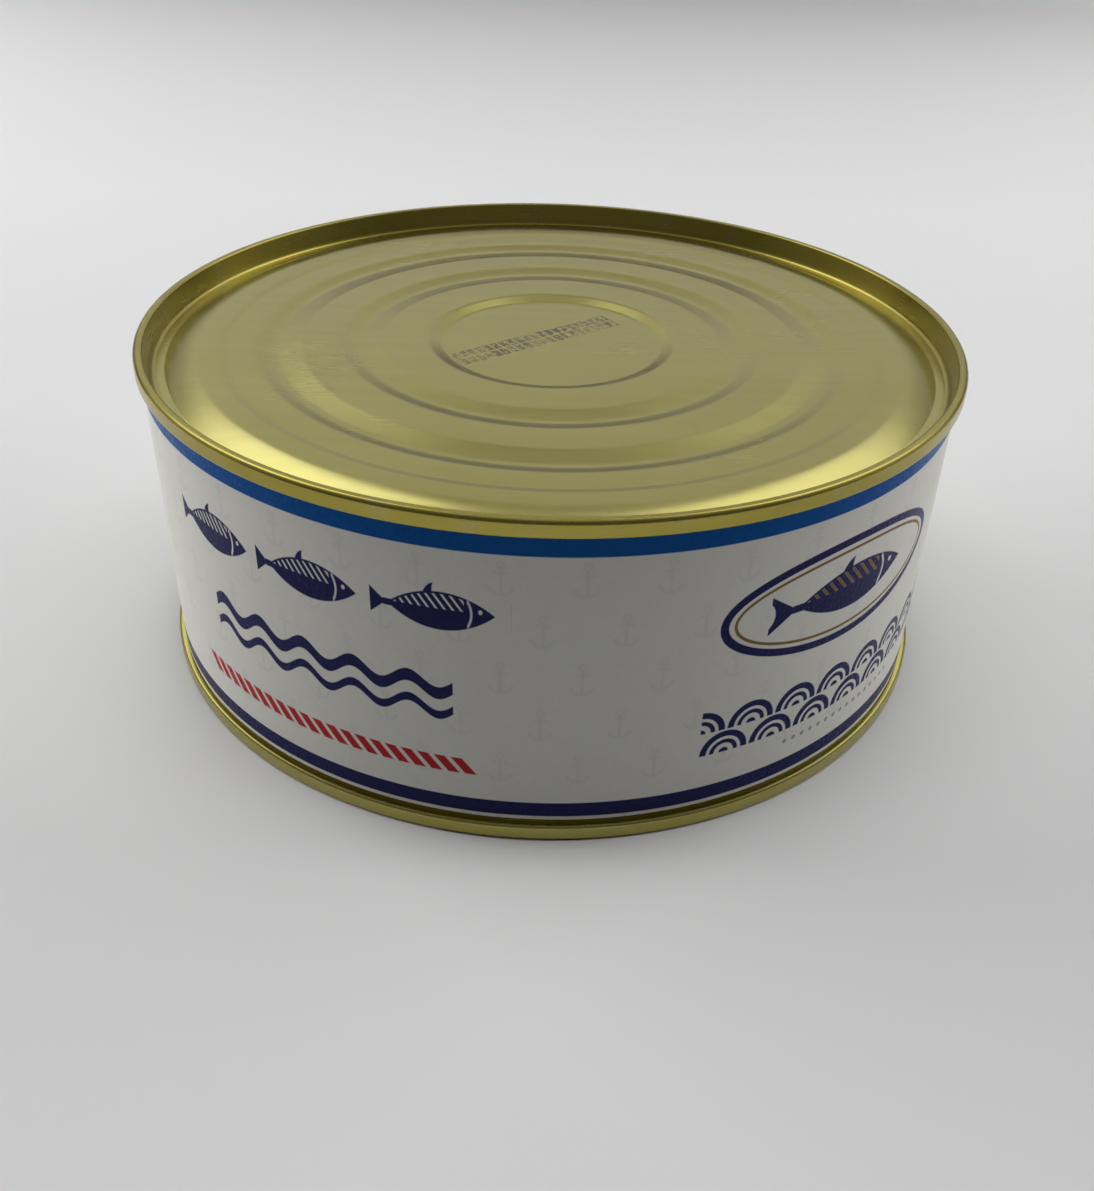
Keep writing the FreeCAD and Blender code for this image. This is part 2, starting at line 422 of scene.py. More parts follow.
@dataclass(frozen=True)
class GoldLacquer:
    """Tinplate under a clear yellow lacquer: satin, with the mill's grain showing through.

    Attributes:
        tint: Colour of the metal through the lacquer.
        pale: The same where the lacquer is thin.
        tin: Bare metal where the lacquer has worn off.
        painted_shade_tint: Painted shade: share of each colour left past rolled_from, a darker,
            deeper tint that stands in for the shade and dark reflections on the seam.
        scorched: Colour of the welded line.
        satin: Roughness of the flat sheet.
        rolled_from: Radius past which the seaming rolls have turned the grain round, and past
            which the painted shade tint lies.
        code: Ink code on the sheet, if it carries one.
        weld: Whether the sheet meets in a welded line at the back.
    """

    tint: Colour = (0.415, 0.372, 0.112)
    pale: Colour = (0.475, 0.432, 0.158)
    tin: Colour = (0.36, 0.35, 0.29)
    # Painted shade tint, multiplied in on the rolled seam.
    painted_shade_tint: Colour = (0.88, 0.82, 0.50)
    scorched: Colour = (0.16, 0.15, 0.13)
    satin: float = 0.25
    rolled_from: float = 74.6
    code: InkCode | None = None
    weld: bool = False

    def make(self, name: str) -> bpy.types.Material:
        """Make the material.

        Args:
            name: The material's name.

        Returns:
            The material.
        """
        material, graph = new_material(name)
        east, north, height = graph.axes(graph.place(IN_MM))
        radius = graph.length(east, north)
        rolled = graph.math("MULTIPLY_ADD", radius, 2.0, -2.0 * self.rolled_from, clamp=True)
        way_round = graph.math("ARCTAN2", north, east)
        drawn_round = {0: way_round * 6.0, 1: height * 5.0, 2: radius * 5.0}
        hoop = graph.node("ShaderNodeCombineXYZ", None, drawn_round)
        along_mill = graph.noise(graph.place((45.0, 1500.0, 1500.0)), 1.0, 3.0)
        long_mill = graph.noise(graph.place((12.0, 380.0, 380.0)), 1.0, 2.0)
        along_roll = graph.noise(hoop.outputs[0], 1.0, 3.0)
        grain = along_mill + (along_roll - along_mill) * rolled
        cloud = graph.noise(graph.place(), 42.0, 4.0)
        patch = graph.noise(graph.place((1.0, 1.6, 1.0)), 130.0, 3.0)

        streaks = (long_mill - 0.5) * 0.9 + (cloud - 0.5) + (grain - 0.5) * 0.5
        tone = graph.math("MULTIPLY_ADD", streaks, 1.0, 0.4, clamp=True)
        colour = graph.blend(tone, (*self.tint, 1), (*self.pale, 1))
        # Painted shade: past rolled_from the colour is darkened and deepened, standing in for the
        # shade and dark reflections on the seam.
        colour = graph.blend(rolled, colour, (*self.painted_shade_tint, 1), "MULTIPLY")
        worn = graph.math("MULTIPLY_ADD", patch + grain * 0.4, 5.0, -3.8, clamp=True)
        worn = worn * (0.04 + rolled * 0.2)
        colour = graph.blend(worn, colour, (*self.tin, 1))
        roughness = self.satin + (cloud - 0.5) * 0.12 + (grain - 0.5) * 0.07 + worn * 0.1
        metallic: Feed = 1.0
        if self.weld:
            pen = Pen(graph, edge=0.4)
            at_back = graph.math("GREATER_THAN", north, 0.0)
            line = pen.ink(abs(east) - 0.8) * at_back
            colour = graph.blend(line * 0.8, colour, (*self.scorched, 1))
            roughness = roughness + line * 0.15
        if self.code:
            ink = self.code.ink(graph)
            colour = graph.blend(ink, colour, (*self.code.colour, 1))
            metallic = 1.0 - ink * 0.8
            roughness = roughness + ink * 0.15
        relief = graph.bump(grain + patch * 0.5, 0.1e-6)
        graph.surface(
            {
                "Base Color": colour,
                "Metallic": metallic,
                "Roughness": roughness,
                "Normal": relief,
                "Coat Weight": 0.08,
                "Coat Roughness": 0.16,
                "Coat IOR": 1.45,
            }
        )
        return material


class Sheet(NamedTuple):
    """The unrolled label: the pen, the distance along it and the height up it."""

    pen: Pen
    along: Reading
    height: Reading


@dataclass(frozen=True)
class Row:
    """Where a row of one ornament runs on the label.

    Attributes:
        start: Where it starts along the label.
        pitch: From one motif to the next.
        count: How many motifs it has.
        foot: Height of its foot.
    """

    start: float
    pitch: float
    count: int
    foot: float

    def past_ends(self, along: Reading) -> Reading:
        """Distance past the row's nearer end, negative inside it."""
        half_length = self.pitch * self.count / 2
        return abs(along - self.start - half_length) - half_length

    def across(self, pen: Pen, along: Reading) -> Reading:
        """Distance along from the middle of the nearest motif."""
        return pen.cell(along - self.start, self.pitch)


@dataclass(frozen=True)
class LabelPrint:
    """What is printed on the label, in millimetres along it and up from the floor.

    The design comes twice round the can. Along is 0 at the can's front and grows to the
    right; up is measured from where the can stands. The angle jumps opposite `front`, which
    is where the paper laps, and `middle` turns it back to 0 at -Y.
    """

    radius: float = 77.42
    front: float = 273.0
    middle: float = 3.0
    repeat: float = 243.2
    first_edge: float = -100.0
    paper: Colour = (0.64, 0.635, 0.59)
    shaded: Colour = (0.605, 0.595, 0.55)
    sky: Colour = (0.001, 0.070, 0.275)
    navy: Colour = (0.014, 0.014, 0.076)
    red: Colour = (0.40, 0.018, 0.022)
    bronze: Colour = (0.19, 0.115, 0.03)
    grey: Colour = (0.30, 0.30, 0.31)
    shoal_row: Row = Row(-72.0, 22.4, 3, 45.0)
    wave_row: Row = Row(-63.5, 9.9, 5, 24.4)
    rope_row: Row = Row(-69.0, 2.9, 20, 12.9)
    scale_row: Row = Row(27.0, 9.6, 7, 14.6)
    dot_row: Row = Row(44.0, 2.1, 16, 11.9)

    def anchors(self, sheet: Sheet) -> Reading:
        """Faint anchors in staggered rows.

        Args:
            sheet: The label.

        Returns:
            Their signed distance.
        """
        pen, along, height = sheet
        graph = pen.graph
        row_height, pitch = 9.2, 12.8
        rows = (height - 10.1) / row_height
        row = graph.math("FLOOR", rows)
        up = (rows - row - 0.5) * row_height
        across = pen.cell(along + (row % 2.0) * (pitch / 2), pitch)
        shank = pen.tile(across, up, 0.24, 2.4, 0.1)
        stock = pen.tile(across, up - 1.5, 1.1, 0.2, 0.1)
        eye = pen.line(pen.disc(across, up - 2.9, 0.55), 0.2)
        arms = pen.line(pen.disc(across, up + 0.5, 1.9), 0.24)
        arms = graph.most(arms, up + 1.0)
        return graph.least(shank, stock, eye, arms)

    def fish(self, pen: Pen, across: Reading, up: Reading) -> tuple[Reading, Reading]:
        """Striped fish that swims to the right, 33 mm long.

        Args:
            pen: The pen it is drawn with.
            across: Distance along, from its middle.
            up: Distance up, from its middle.

        Returns:
            Signed distances of the fish, with its marks left open, and of its stripes.
        """
        graph = pen.graph
        body = pen.lens(across - 1.5, up, 13.5, 4.2)
        tail_across = across + 14.5
        fork = abs(up) * 0.8 - 1.2 + tail_across * 0.55
        tail = graph.most(fork, tail_across - 4.6, -tail_across - 3.2)
        root = pen.tile(across + 11.4, up, 1.8, 0.75, 0.1)
        notch = pen.disc(tail_across + 5.4, up, 3.2)
        fin_front = pen.disc(across - 1.0, up - 2.2, 4.0)
        fin = graph.most(fin_front, -pen.disc(across - 4.2, up - 4.4, 4.6), 2.2 - up)
        gill = graph.most(pen.line(pen.disc(across - 4.6, up, 4.6), 0.28), 8.2 - across)
        eye = pen.disc(across - 11.4, up - 0.7, 0.5)
        stripe = abs(pen.cell(across + up * 0.9, 2.1)) - 0.34
        stripes = graph.most(stripe, 0.5 - up, body + 0.5, across - 7.4)
        outline = graph.least(body, root, graph.most(tail, -notch), fin)
        fish = graph.most(outline, -gill, -eye, -stripes)
        return fish, graph.most(stripes, body)

    def emblem(self, sheet: Sheet) -> tuple[Reading, Reading]:
        """Fish in an oval.

        Args:
            sheet: The label.

        Returns:
            Signed distances of what is navy and of what is bronze.
        """
        pen, across, up = sheet.pen, sheet.along - 55.0, sheet.height - 40.6
        frame_line = pen.line(pen.oval(across, up, 26.0, 9.4), 0.75)
        inner_line = pen.line(pen.oval(across, up, 24.0, 7.6), 0.28)
        fish, stripes = self.fish(pen, across, up)
        return pen.graph.least(frame_line, fish), pen.graph.least(inner_line, stripes)

    def shoal(self, sheet: Sheet) -> Reading:
        """Small fish in line, at two thirds of the emblem's size.

        Args:
            sheet: The label.

        Returns:
            Its signed distance.
        """
        (pen, along, height), row = sheet, self.shoal_row
        shrink, flatten = 1.58, 1.2
        across = row.across(pen, along) + 0.7
        fish, _ = self.fish(pen, across * shrink, (height - row.foot) * flatten)
        return pen.graph.most(fish / shrink, row.past_ends(along))

    def waves(self, sheet: Sheet) -> Reading:
        """Two swelling lines of water, one above the other.

        Args:
            sheet: The label.

        Returns:
            Its signed distance.
        """
        (pen, along, height), row = sheet, self.wave_row
        graph = pen.graph
        swell = graph.math("SINE", (along - row.start) * (math.tau / row.pitch)) * 1.35
        upper = abs(height - row.foot - 6.0 - swell) * 0.82 - 1.0
        lower = abs(height - row.foot - 1.6 - swell) * 0.82 - 0.7
        return graph.most(graph.least(upper, lower), row.past_ends(along))

    def rope(self, sheet: Sheet) -> Reading:
        """Strands of a laid rope.

        Args:
            sheet: The label.

        Returns:
            Its signed distance.
        """
        (pen, along, height), row = sheet, self.rope_row
        half_height = 1.6
        up = height - row.foot - half_height
        strand = abs(pen.cell(along - row.start + up * 0.8, row.pitch)) * 0.78 - 0.76
        edge = abs(up) - half_height
        return pen.graph.most(strand, edge, row.past_ends(along + up * 0.8))

    def scales(self, sheet: Sheet) -> Reading:
        """Two staggered courses of fish scales.

        Args:
            sheet: The label.

        Returns:
            Its signed distance.
        """
        (pen, along, height), row = sheet, self.scale_row
        graph = pen.graph
        courses = []
        for course in range(2):
            up = height - row.foot - 4.9 * course
            across = row.across(pen, along + row.pitch / 2 * course)
            outer = pen.line(pen.disc(across, up, 3.95), 0.62)
            inner = pen.line(pen.disc(across, up, 2.3), 0.42)
            courses.append(graph.most(graph.least(outer, inner, pen.disc(across, up, 0.95)), -up))
        return graph.most(graph.least(*courses), row.past_ends(along))

    def dots(self, sheet: Sheet) -> Reading:
        """Fine dotted rule.

        Args:
            sheet: The label.

        Returns:
            Its signed distance.
        """
        (pen, along, height), row = sheet, self.dot_row
        spot = pen.disc(row.across(pen, along), height - row.foot, 0.5)
        return pen.graph.most(spot, row.past_ends(along))

    def panel(self, sheet: Sheet) -> Reading:
        """Framed field of fine bars.

        Args:
            sheet: The label.

        Returns:
            Its signed distance.
        """
        pen, across, up = sheet.pen, sheet.along - 120.0, sheet.height - 32.1
        graph = pen.graph
        outline = pen.line(pen.tile(across, up, 17.0, 19.0, 1.5), 0.2)
        rows = up / 2.6
        row = graph.math("FLOOR", rows)
        line_up = (rows - row - 0.5) * 2.6
        reach = 9.0 + graph.chance(row, 7.0, 1.0) * 5.6
        bar = pen.tile(across + 14.6 - reach, line_up, reach, 0.42, 0.3)
        bars = graph.most(bar, abs(up) - 16.0)
        return graph.least(outline, bars)

    def colour(self, graph: Graph) -> tuple[bpy.types.NodeSocket, Reading]:
        """Colour of the printed paper.

        Args:
            graph: The label's graph.

        Returns:
            The colour's socket, and how much ink lies on the paper.
        """
        turn = math.radians(360.0 - self.front)
        east, north, height = graph.axes(graph.place(IN_MM, turn))
        around = graph.math("ARCTAN2", north, east) + math.radians(self.middle)
        along = (around * self.radius - self.first_edge) % self.repeat + self.first_edge
        pen = Pen(graph)
        sheet, hazy = Sheet(pen, along, height), Sheet(Pen(graph, edge=0.5), along, height)

        fibre = graph.noise(graph.place(), 900.0, 3.0)
        mottle = graph.noise(graph.place(), 26.0, 3.0)
        paper = graph.blend(mottle, (*self.paper, 1), (*self.shaded, 1))
        patchy = 0.62 + (mottle - 0.5) * 1.2 + (fibre - 0.5) * 0.5
        clear = pen.ink(11.1 - height)
        marks = hazy.pen.ink(self.anchors(hazy)) * 0.17 * clear
        colour = graph.blend(marks, paper, (*self.grey, 1))

        navy_emblem, bronze = self.emblem(sheet)
        band = abs(height - 6.15) - 1.5
        ornaments = [draw(sheet) for draw in (self.shoal, self.waves, self.scales)]
        navy = graph.least(navy_emblem, band, *ornaments)
        red = self.rope(sheet)
        grey = graph.least(self.dots(sheet), self.panel(sheet))
        sky = 56.1 - height
        cover: Number = 0.0
        shapes = (grey, bronze, red, navy, sky)
        inks = (self.grey, self.bronze, self.red, self.navy, self.sky)
        for shape, ink in zip(shapes, inks):
            here = pen.ink(shape)
            colour = graph.blend(here, colour, (*ink, 1))
            cover = graph.most(cover, here)
        tone = 0.93 + fibre * 0.09 + mottle * 0.05
        return graph.blend(1.0, colour, tone, "MULTIPLY"), cover * graph.least(patchy, 1.0)


@dataclass(frozen=True)
class PrintedPaper:
    """Thin coated label paper, slightly glossy where the ink lies thick."""

    artwork: LabelPrint = field(default_factory=LabelPrint)
    roughness: float = 0.34

    def make(self, name: str) -> bpy.types.Material:
        """Make the material.

        Args:
            name: The material's name.

        Returns:
            The material.
        """
        material, graph = new_material(name)
        colour, ink = self.artwork.colour(graph)
        fibre = graph.noise(graph.place((1.0, 1.0, 0.7)), 1400.0, 4.0)
        cockle = graph.noise(graph.place((1.0, 1.0, 0.5)), 70.0, 2.0)
        graph.surface(
            {
                "Base Color": colour,
                "Roughness": self.roughness - ink * 0.1 + (fibre - 0.5) * 0.12,
                "Normal": graph.bump(fibre * 0.25 + cockle * 6.0, 7e-6),
                "Specular IOR Level": 0.05,
            }
        )
        return material


# --- Modelling ---


class Bench:
    """One mesh on the bench, shaped in edit mode with the usual tools."""

    def __init__(self, name: str) -> None:
        """Clear the selection before a primitive is added."""
        self.name = name
        bpy.ops.object.select_all(action="DESELECT")

    @property
    def piece(self) -> bpy.types.Object:
        """The object on the bench."""
        return bpy.context.view_layer.objects.active

    def open(self) -> None:
        """Name the new primitive, put its place into its mesh, and start editing it."""
        self.piece.name = self.name
        self.piece.data.name = self.name
        bpy.ops.object.transform_apply(location=True, rotation=True, scale=True)
        bpy.ops.object.mode_set(mode="EDIT")
        bpy.ops.mesh.select_mode(type="EDGE")

    def close(self) -> bpy.types.Object:
        """Stop editing, and give the finished object."""
        bpy.ops.object.mode_set(mode="OBJECT")
        return self.piece

    def pick(self, kind: str, wanted: Callable[[Any], bool]) -> int:
        """Select parts of the mesh by their place.

        Args:
            kind: "verts", "edges" or "faces".
            wanted: Says whether a part is picked.

        Returns:
            How many were picked.
        """
        bpy.ops.mesh.select_all(action="DESELECT")
        mesh = bmesh.from_edit_mesh(self.piece.data)
        picked = [part for part in getattr(mesh, kind) if wanted(part)]
        for part in picked:
            part.select_set(True)
        mesh.select_flush_mode()
        bmesh.update_edit_mesh(self.piece.data)
        return len(picked)

    def modify(self, kind: str, **settings: Any) -> None:
        """Add a modifier and apply it.

        Args:
            kind: The modifier's type.
            settings: Its properties.
        """
        modifier = self.piece.modifiers.new(kind.title(), kind)
        for name, value in settings.items():
            setattr(modifier, name, value)
        bpy.ops.object.modifier_apply(modifier=modifier.name)


def clouds(name: str, size: float) -> bpy.types.Texture:
    """Make a procedural cloud texture for a Displace modifier.

    Args:
        name: The texture's name.
        size: Size of its clouds, in metres.

    Returns:
        The texture.
    """
    texture = bpy.data.textures.new(name, "CLOUDS")
    texture.noise_scale = size
    texture.noise_depth = 1
    return texture


def dress(piece: bpy.types.Object, material: bpy.types.Material) -> None:
    """Give a piece its material, its body and its place in the record.

    Args:
        piece: The object.
        material: Its finish.
    """
    if piece.data.materials:
        for index in range(len(piece.data.materials)):
            piece.material_slots[index].material = material
    else:
        piece.data.materials.append(material)
    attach(piece, BODY)
    log.info("%s: %d faces", piece.name, len(piece.data.polygons))


class EndSide(Enum):
    """Which end of the can a pressed end closes."""

    TOP = "top_end"
    BOTTOM = "bottom_end"


@dataclass(frozen=True)
class Corner:
    """Corner of a pressed end's section, in millimetres.

    Attributes:
        inwards: How much nearer to the axis it lies than the corner before it.
        depth: How far below the seam's crown it lies.
        bend: Radius of its rounding.
        stations: Rings between it and the corner before it.
    """

    inwards: float
    depth: float
    bend: float
    stations: int = 0


@dataclass
class PressedEnd:
    """Tinplate end: double seam, chuck wall, countersink, shoulder and expansion rings.

    Sizes are in millimetres. The seam's foot is tucked into the can's wall.
    """

    side: EndSide
    slot: str
    finish: GoldLacquer
    height: float
    facets: int = 288
    wall_radius: float = 77.3
    plate: float = 0.22
    seam_height: float = 3.1
    seam_overhang: float = 1.3
    seam_outer_bend: float = 0.75
    seam_inner_bend: float = 0.45
    seam_lower_bend: float = 0.6
    unevenness: float = 0.34
    seam_slack: float = 0.01
    panel: tuple[Corner, ...] = (
        Corner(0.85, 4.7, 0.9),
        Corner(2.5, 4.7, 0.9),
        Corner(2.6, 3.35, 10.5),
        Corner(6.9, 3.35, 3.0, 1),
        Corner(1.6, 3.6, 3.0),
        Corner(5.5, 3.6, 6.0, 1),
        Corner(3.2, 4.4, 6.0),
        Corner(5.3, 3.7, 6.0),
        Corner(7.5, 3.7, 6.0, 2),
        Corner(3.5, 4.5, 6.0),
        Corner(4.5, 3.9, 6.0),
        Corner(8.8, 3.9, 3.0, 2),
        Corner(2.7, 4.9, 3.0),
    )
    disc_rings: tuple[float, ...] = (17.0, 12.5, 8.0, 3.5)

    def corners(self) -> list[tuple[float, float, float, int]]:
        """Corners of the section from the seam's foot to the centre disc.

        Returns:
            Radius, depth below the crown, bend and stations of each, in millimetres.
        """
        rim = self.wall_radius + self.seam_overhang - self.seam_slack
        radius = self.wall_radius - 2 * self.plate
        section = [
            (self.wall_radius - 0.05, self.seam_height, 0.0, 0),
            (rim, self.seam_height, self.seam_lower_bend, 0),
            (rim, 0.0, self.seam_outer_bend, 1),
            (radius, 0.0, self.seam_inner_bend, 0),
        ]
        for corner in self.panel:
            radius -= corner.inwards
            section.append((radius, corner.depth, corner.bend, corner.stations))
        return section

    def build(self) -> bpy.types.Object:
        """Turn the section into the end's outer skin, open only at the seam's foot.

        Returns:
            The piece.
        """
        bench = Bench(self.side.value + "_pressing")
        section = self.corners()
        radius, depth = section[0][:2]
        bpy.ops.mesh.primitive_circle_add(
            vertices=self.facets, radius=radius * MM, location=(0, 0, (self.height - depth) * MM)
        )
        bench.open()
        bpy.ops.mesh.select_all(action="SELECT")
        at = Vector((radius, depth))
        for *spot, _, stations in section[1:]:
            start, end = at, Vector(spot)
            for share in range(1, stations + 2):
                at = self._draw_to(at, start.lerp(end, share / (stations + 1)))
        for ring in self.disc_rings:
            at = self._draw_to(at, Vector((ring, at[1])))
        bpy.ops.mesh.extrude_region_move()
        bpy.ops.mesh.merge(type="CENTER")
        self._round_corners(bench, section)
        bpy.ops.mesh.select_all(action="SELECT")
        bpy.ops.mesh.remove_doubles(threshold=1e-6)
        bpy.ops.mesh.normals_make_consistent(inside=False)
        bench.close()
        self._uneven(bench)
        if self.side is EndSide.BOTTOM:
            bpy.ops.object.mode_set(mode="EDIT")
            bpy.ops.mesh.select_all(action="SELECT")
            middle = (0, 0, self.height * MM / 2)
            bpy.ops.transform.rotate(value=math.pi, orient_axis="X", center_override=middle)
            bench.close()
        bpy.ops.object.shade_smooth()
        bench.modify("WEIGHTED_NORMAL", keep_sharp=False, weight=60)
        piece = bench.piece
        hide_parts(self.side.value)
        dress(piece, self.finish.make(self.slot))
        return piece

    def _draw_to(self, at: Vector, to: Vector) -> Vector:
        """Extrude the selected ring to the next one.

        Args:
            at: Radius and depth of the selected ring, in millimetres.
            to: Those of the new ring.

        Returns:
            Where the selected ring now is.
        """
        bpy.ops.mesh.extrude_region_move()
        bpy.ops.transform.translate(value=(0, 0, (at[1] - to[1]) * MM))
        factor = to[0] / at[0]
        bpy.ops.transform.resize(value=(factor, factor, 1), center_override=(0, 0, 0))
        return to

    def _round_corners(
        self, bench: Bench, section: Sequence[tuple[float, float, float, int]]
    ) -> None:
        """Bevel each ring that has a bend.

        Args:
            bench: The bench that holds the mesh.
            section: The section's corners.
        """
        points = [(radius, self.height - depth) for radius, depth, _, _ in section]
        points.append((0.0, points[-1][1]))
        for index, (_, _, bend, _) in enumerate(section):
            if not bend:
                continue
            (r0, z0), (r1, z1), (r2, z2) = points[index - 1 : index + 2]
            turn = math.atan2(z2 - z1, r2 - r1) - math.atan2(z1 - z0, r1 - r0)
            turn = abs((turn + math.pi) % (2 * math.pi) - math.pi)
            picked = bench.pick("edges", lambda edge: on_ring(edge, r1, z1))
            assert picked == self.facets, (self.side, index, picked)
            bpy.ops.mesh.bevel(
                offset_type="OFFSET",
                offset=bend * math.tan(turn / 2) * MM,
                segments=max(2, round(math.degrees(turn) / 11)),
                profile=0.5,
            )

    def _uneven(self, bench: Bench) -> None:
        """Let the sheet wander a little, as a pressing does.

        Args:
            bench: The bench that holds the mesh.
        """
        piece = bench.piece
        panel = piece.vertex_groups.new(name="panel")
        for vertex in piece.data.vertices:
            radius = math.hypot(vertex.co.x, vertex.co.y) / MM
            weight = min(1.0, max(0.0, (74.0 - radius) / 6.0))
            if weight:
                panel.add([vertex.index], weight, "REPLACE")
        wander = clouds(self.side.value + "_wander", 0.055)
        bench.modify(
            "DISPLACE",
            texture=wander,
            texture_coords="LOCAL",
            direction="Z",
            mid_level=0.5,
            strength=self.unevenness * MM,
            vertex_group="panel",
        )
        bench.piece.vertex_groups.clear()


def on_ring(edge: bmesh.types.BMEdge, radius: float, height: float) -> bool:
    """Tell whether both ends of an edge lie on a ring about the can's axis, in millimetres."""
    spots = [(math.hypot(*vertex.co.xy) / MM, vertex.co.z / MM) for vertex in edge.verts]
    return all(abs(reach - radius) <= NEAR and abs(up - height) <= NEAR for reach, up in spots)


@dataclass
class SideWall:
    """The can's side, rolled from one sheet and welded at the back."""

    slot: str
    finish: GoldLacquer
    node: str = "can_body"

    def build(self) -> bpy.types.Object:
        """Dress the CAD wall.

        Returns:
            The piece.
        """
        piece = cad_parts[self.node]
        dress(piece, self.finish.make(self.slot))
        return piece


@dataclass
class PaperLabel:
    """Printed wrap, glued where it laps over itself at the back.

    Sizes are in millimetres and angles in degrees.
    """

    slot: str
    finish: PrintedPaper
    wall_radius: float = 77.3
    paper: float = 0.12
    foot: float = 3.90
    head: float = 59.50
    lap_start: float = 93.0
    lap: float = 7.0
    ramp: float = 1.5
    tucked: float = 6.5
    rows: int = 20
    step: float = 1.0
    looseness: float = 0.14
    strips: int = 3

    def build(self) -> bpy.types.Object:
        """Wind the paper round the can.

        Returns:
            The piece.
        """
        bench = Bench("label_wrap")
        start = math.radians(self.lap_start)
        lap_radius = self.wall_radius + 2 * self.paper
        tall = self.head - self.foot
        bpy.ops.mesh.primitive_plane_add(
            size=tall * MM,
            rotation=(math.pi / 2, 0, 0),
            location=((lap_radius + tall / 2) * MM, 0, (self.foot + tall / 2) * MM),
        )
        bench.open()
        bench.pick("edges", lambda edge: all(v.co.x > (lap_radius + 1) * MM for v in edge.verts))
        bpy.ops.mesh.delete(type="EDGE")
        bench.pick("verts", lambda vertex: vertex.co.x > (lap_radius + 1) * MM)
        bpy.ops.mesh.delete(type="VERT")
        bpy.ops.mesh.select_all(action="SELECT")
        bpy.ops.mesh.subdivide(number_cuts=self.rows - 1)
        self._wind(self.lap)
        self._wind(self.ramp / 2)
        self._tighten(lap_radius, lap_radius - self.paper / 2)
        self._wind(self.ramp / 2)
        self._tighten(lap_radius - self.paper / 2, lap_radius - self.paper)
        self._wind(360.0 - self.lap - self.ramp + self.tucked)
        bpy.ops.mesh.select_all(action="SELECT")
        bpy.ops.mesh.remove_doubles(threshold=1e-7)
        bench.close()
        bench.piece.data.transform(Matrix.Rotation(start, 4, "Z"))
        self._face_out(bench)
        bench.modify(
            "DISPLACE",
            texture=clouds("paper_cockle", 0.032),
            texture_coords="LOCAL",
            direction="NORMAL",
            mid_level=0.2,
            strength=self.looseness * MM,
        )
        bench.modify("SOLIDIFY", thickness=self.paper * MM, offset=-1.0, use_even_offset=True)
        bpy.ops.object.shade_smooth_by_angle(angle=math.radians(40))
        self._lay_flat(bench.piece)
        piece = bench.piece
        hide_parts("label")
        dress(piece, self.finish.make(self.slot))
        return piece

    def _lay_flat(self, piece: bpy.types.Object) -> None:
        """Give the printed side most of the piece's map, in strips one above the other.

        Args:
            piece: The wrap.
        """
        mesh = piece.data
        flat = mesh.uv_layers.new(name="OFBake")
        arc = 360.0 / self.strips
        margin = 0.004
        strip_height = 0.96 / self.strips
        for face in mesh.polygons:
            middle = face.center
            outwards = face.normal.x * middle.x + face.normal.y * middle.y
            turn = (math.degrees(math.atan2(middle.y, middle.x)) - self.lap_start) % 360.0
            reach = math.hypot(middle.x, middle.y) / MM
            tucked = turn < self.lap and reach < self.wall_radius + 1.5 * self.paper
            shown = outwards > 0.5 * math.hypot(middle.x, middle.y) and not tucked
            strip = int(turn / arc)
            for corner in face.loop_indices:
                spot = mesh.vertices[mesh.loops[corner].vertex_index].co
                step = math.degrees(math.atan2(spot.y, spot.x)) - self.lap_start - turn
                along = turn + (step + 180.0) % 360.0 - 180.0
                up = (spot.z / MM - self.foot) / (self.head - self.foot)
                if shown:
                    u = margin + (1 - 2 * margin) * (along - strip * arc) / arc
                    v = strip * strip_height + margin + (strip_height - 2 * margin) * up
                else:
                    u = margin + (1 - 2 * margin) * min(1.0, max(0.0, along / 360.0))
                    v = 0.97 + 0.02 * up
                flat.data[corner].uv = (u, v)

    def _wind(self, degrees: float) -> None:
        """Spin the paper's end on round the can.

        Args:
            degrees: How far.
        """
        steps = max(1, round(degrees / self.step))
        angle = -math.radians(degrees)
        bpy.ops.mesh.spin(steps=steps, angle=angle, center=(0, 0, 0), axis=(0, 0, 1))

    def _tighten(self, from_radius: float, radius: float) -> None:
        """Draw the paper's end in from one radius to another."""
        factor = radius / from_radius
        bpy.ops.transform.resize(value=(factor, factor, 1), center_override=(0, 0, 0))

    def _face_out(self, bench: Bench) -> None:
        """Turn every face outwards.

        Args:
            bench: The bench that holds the mesh.
        """

        def turned_in(face: bmesh.types.BMFace) -> bool:
            """Tell whether a face looks at the can's axis."""
            middle = face.calc_center_median()
            return face.normal.x * middle.x + face.normal.y * middle.y < 0

        bpy.ops.object.mode_set(mode="EDIT")
        if bench.pick("faces", turned_in):
            bpy.ops.mesh.flip_normals()
        bench.close()


# --- Studio ---


class Shows(Enum):
    """What the can shows of a lamp: the light it casts, or its own mirror image."""

    LIGHT = "light"
    MIRRORED = "mirrored"


@dataclass(frozen=True)
class Softbox:
    """A large soft lamp.

    Attributes:
        name: Its name.
        place: Where it hangs, in metres.
        aim: What it points at.
        size: Its width and height.
        power: In watts.
        shows: What the can shows of it.
    """

    name: str
    place: tuple[float, float, float]
    aim: tuple[float, float, float]
    size: tuple[float, float]
    power: float
    shows: Shows

    def hang(self) -> None:
        """Add the lamp."""
        bpy.ops.object.light_add(type="AREA", location=self.place)
        lamp = bpy.context.object
        lamp.name = self.name
        lamp.visible_camera = False
        lamp.visible_glossy = self.shows is Shows.MIRRORED
        lamp.visible_diffuse = self.shows is Shows.LIGHT
        lamp.data.name = self.name
        lamp.data.shape = "RECTANGLE"
        lamp.data.size, lamp.data.size_y = self.size
        lamp.data.energy = self.power
        sight = Vector(self.aim) - Vector(self.place)
        lamp.rotation_euler = sight.to_track_quat("-Z", "Y").to_euler()


